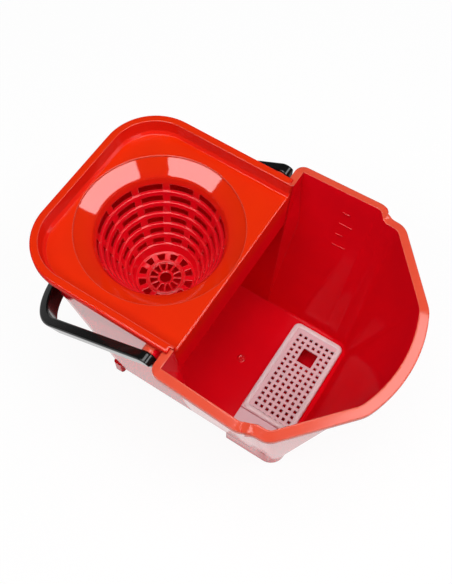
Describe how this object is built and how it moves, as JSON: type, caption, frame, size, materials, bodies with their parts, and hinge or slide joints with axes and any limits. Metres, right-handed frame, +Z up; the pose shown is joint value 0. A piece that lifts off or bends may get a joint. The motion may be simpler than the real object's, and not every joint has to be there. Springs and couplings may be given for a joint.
{
  "type": "mop bucket with wringer",
  "caption": "Moulded mop bucket with a pouring prow, a drop-in wringer tray with a slotted conical basket, a perforated grit screen over a sump and a swinging bail handle.",
  "frame": {"origin": "on the ground under the middle of the bucket's length and width", "axes": "+X towards the pouring prow, +Y across the bucket, +Z up"},
  "size_m": [0.4199, 0.3048, 0.275],
  "materials": {
    "tub_plastic": "glossy injection-moulded red",
    "wringer_plastic": "glossy injection-moulded orange red",
    "screen_plastic": "satin moulded off-white",
    "handle_plastic": "glossy moulded black"
  },
  "bodies": {
    "tub": {"bucket_tub": "tub_plastic"},
    "wringer": {"wringer": "wringer_plastic"},
    "screen": {"grit_screen": "screen_plastic"},
    "bail": {"bail_handle": "handle_plastic"}
  },
  "joints": [
    {"name": "bail_swing", "type": "hinge", "parent": "tub", "child": "bail", "pos_m": [-0.022, 0, 0.256], "axis": [0, 1, 0], "range_deg": [0, 126]},
    {"name": "wringer_lift", "type": "slide", "parent": "tub", "child": "wringer", "axis": [0, 0, 1], "range_m": [0, 0.15]},
    {"name": "screen_lift", "type": "slide", "parent": "tub", "child": "screen", "axis": [0, 0, 1], "range_m": [0, 0.255]}
  ]
}
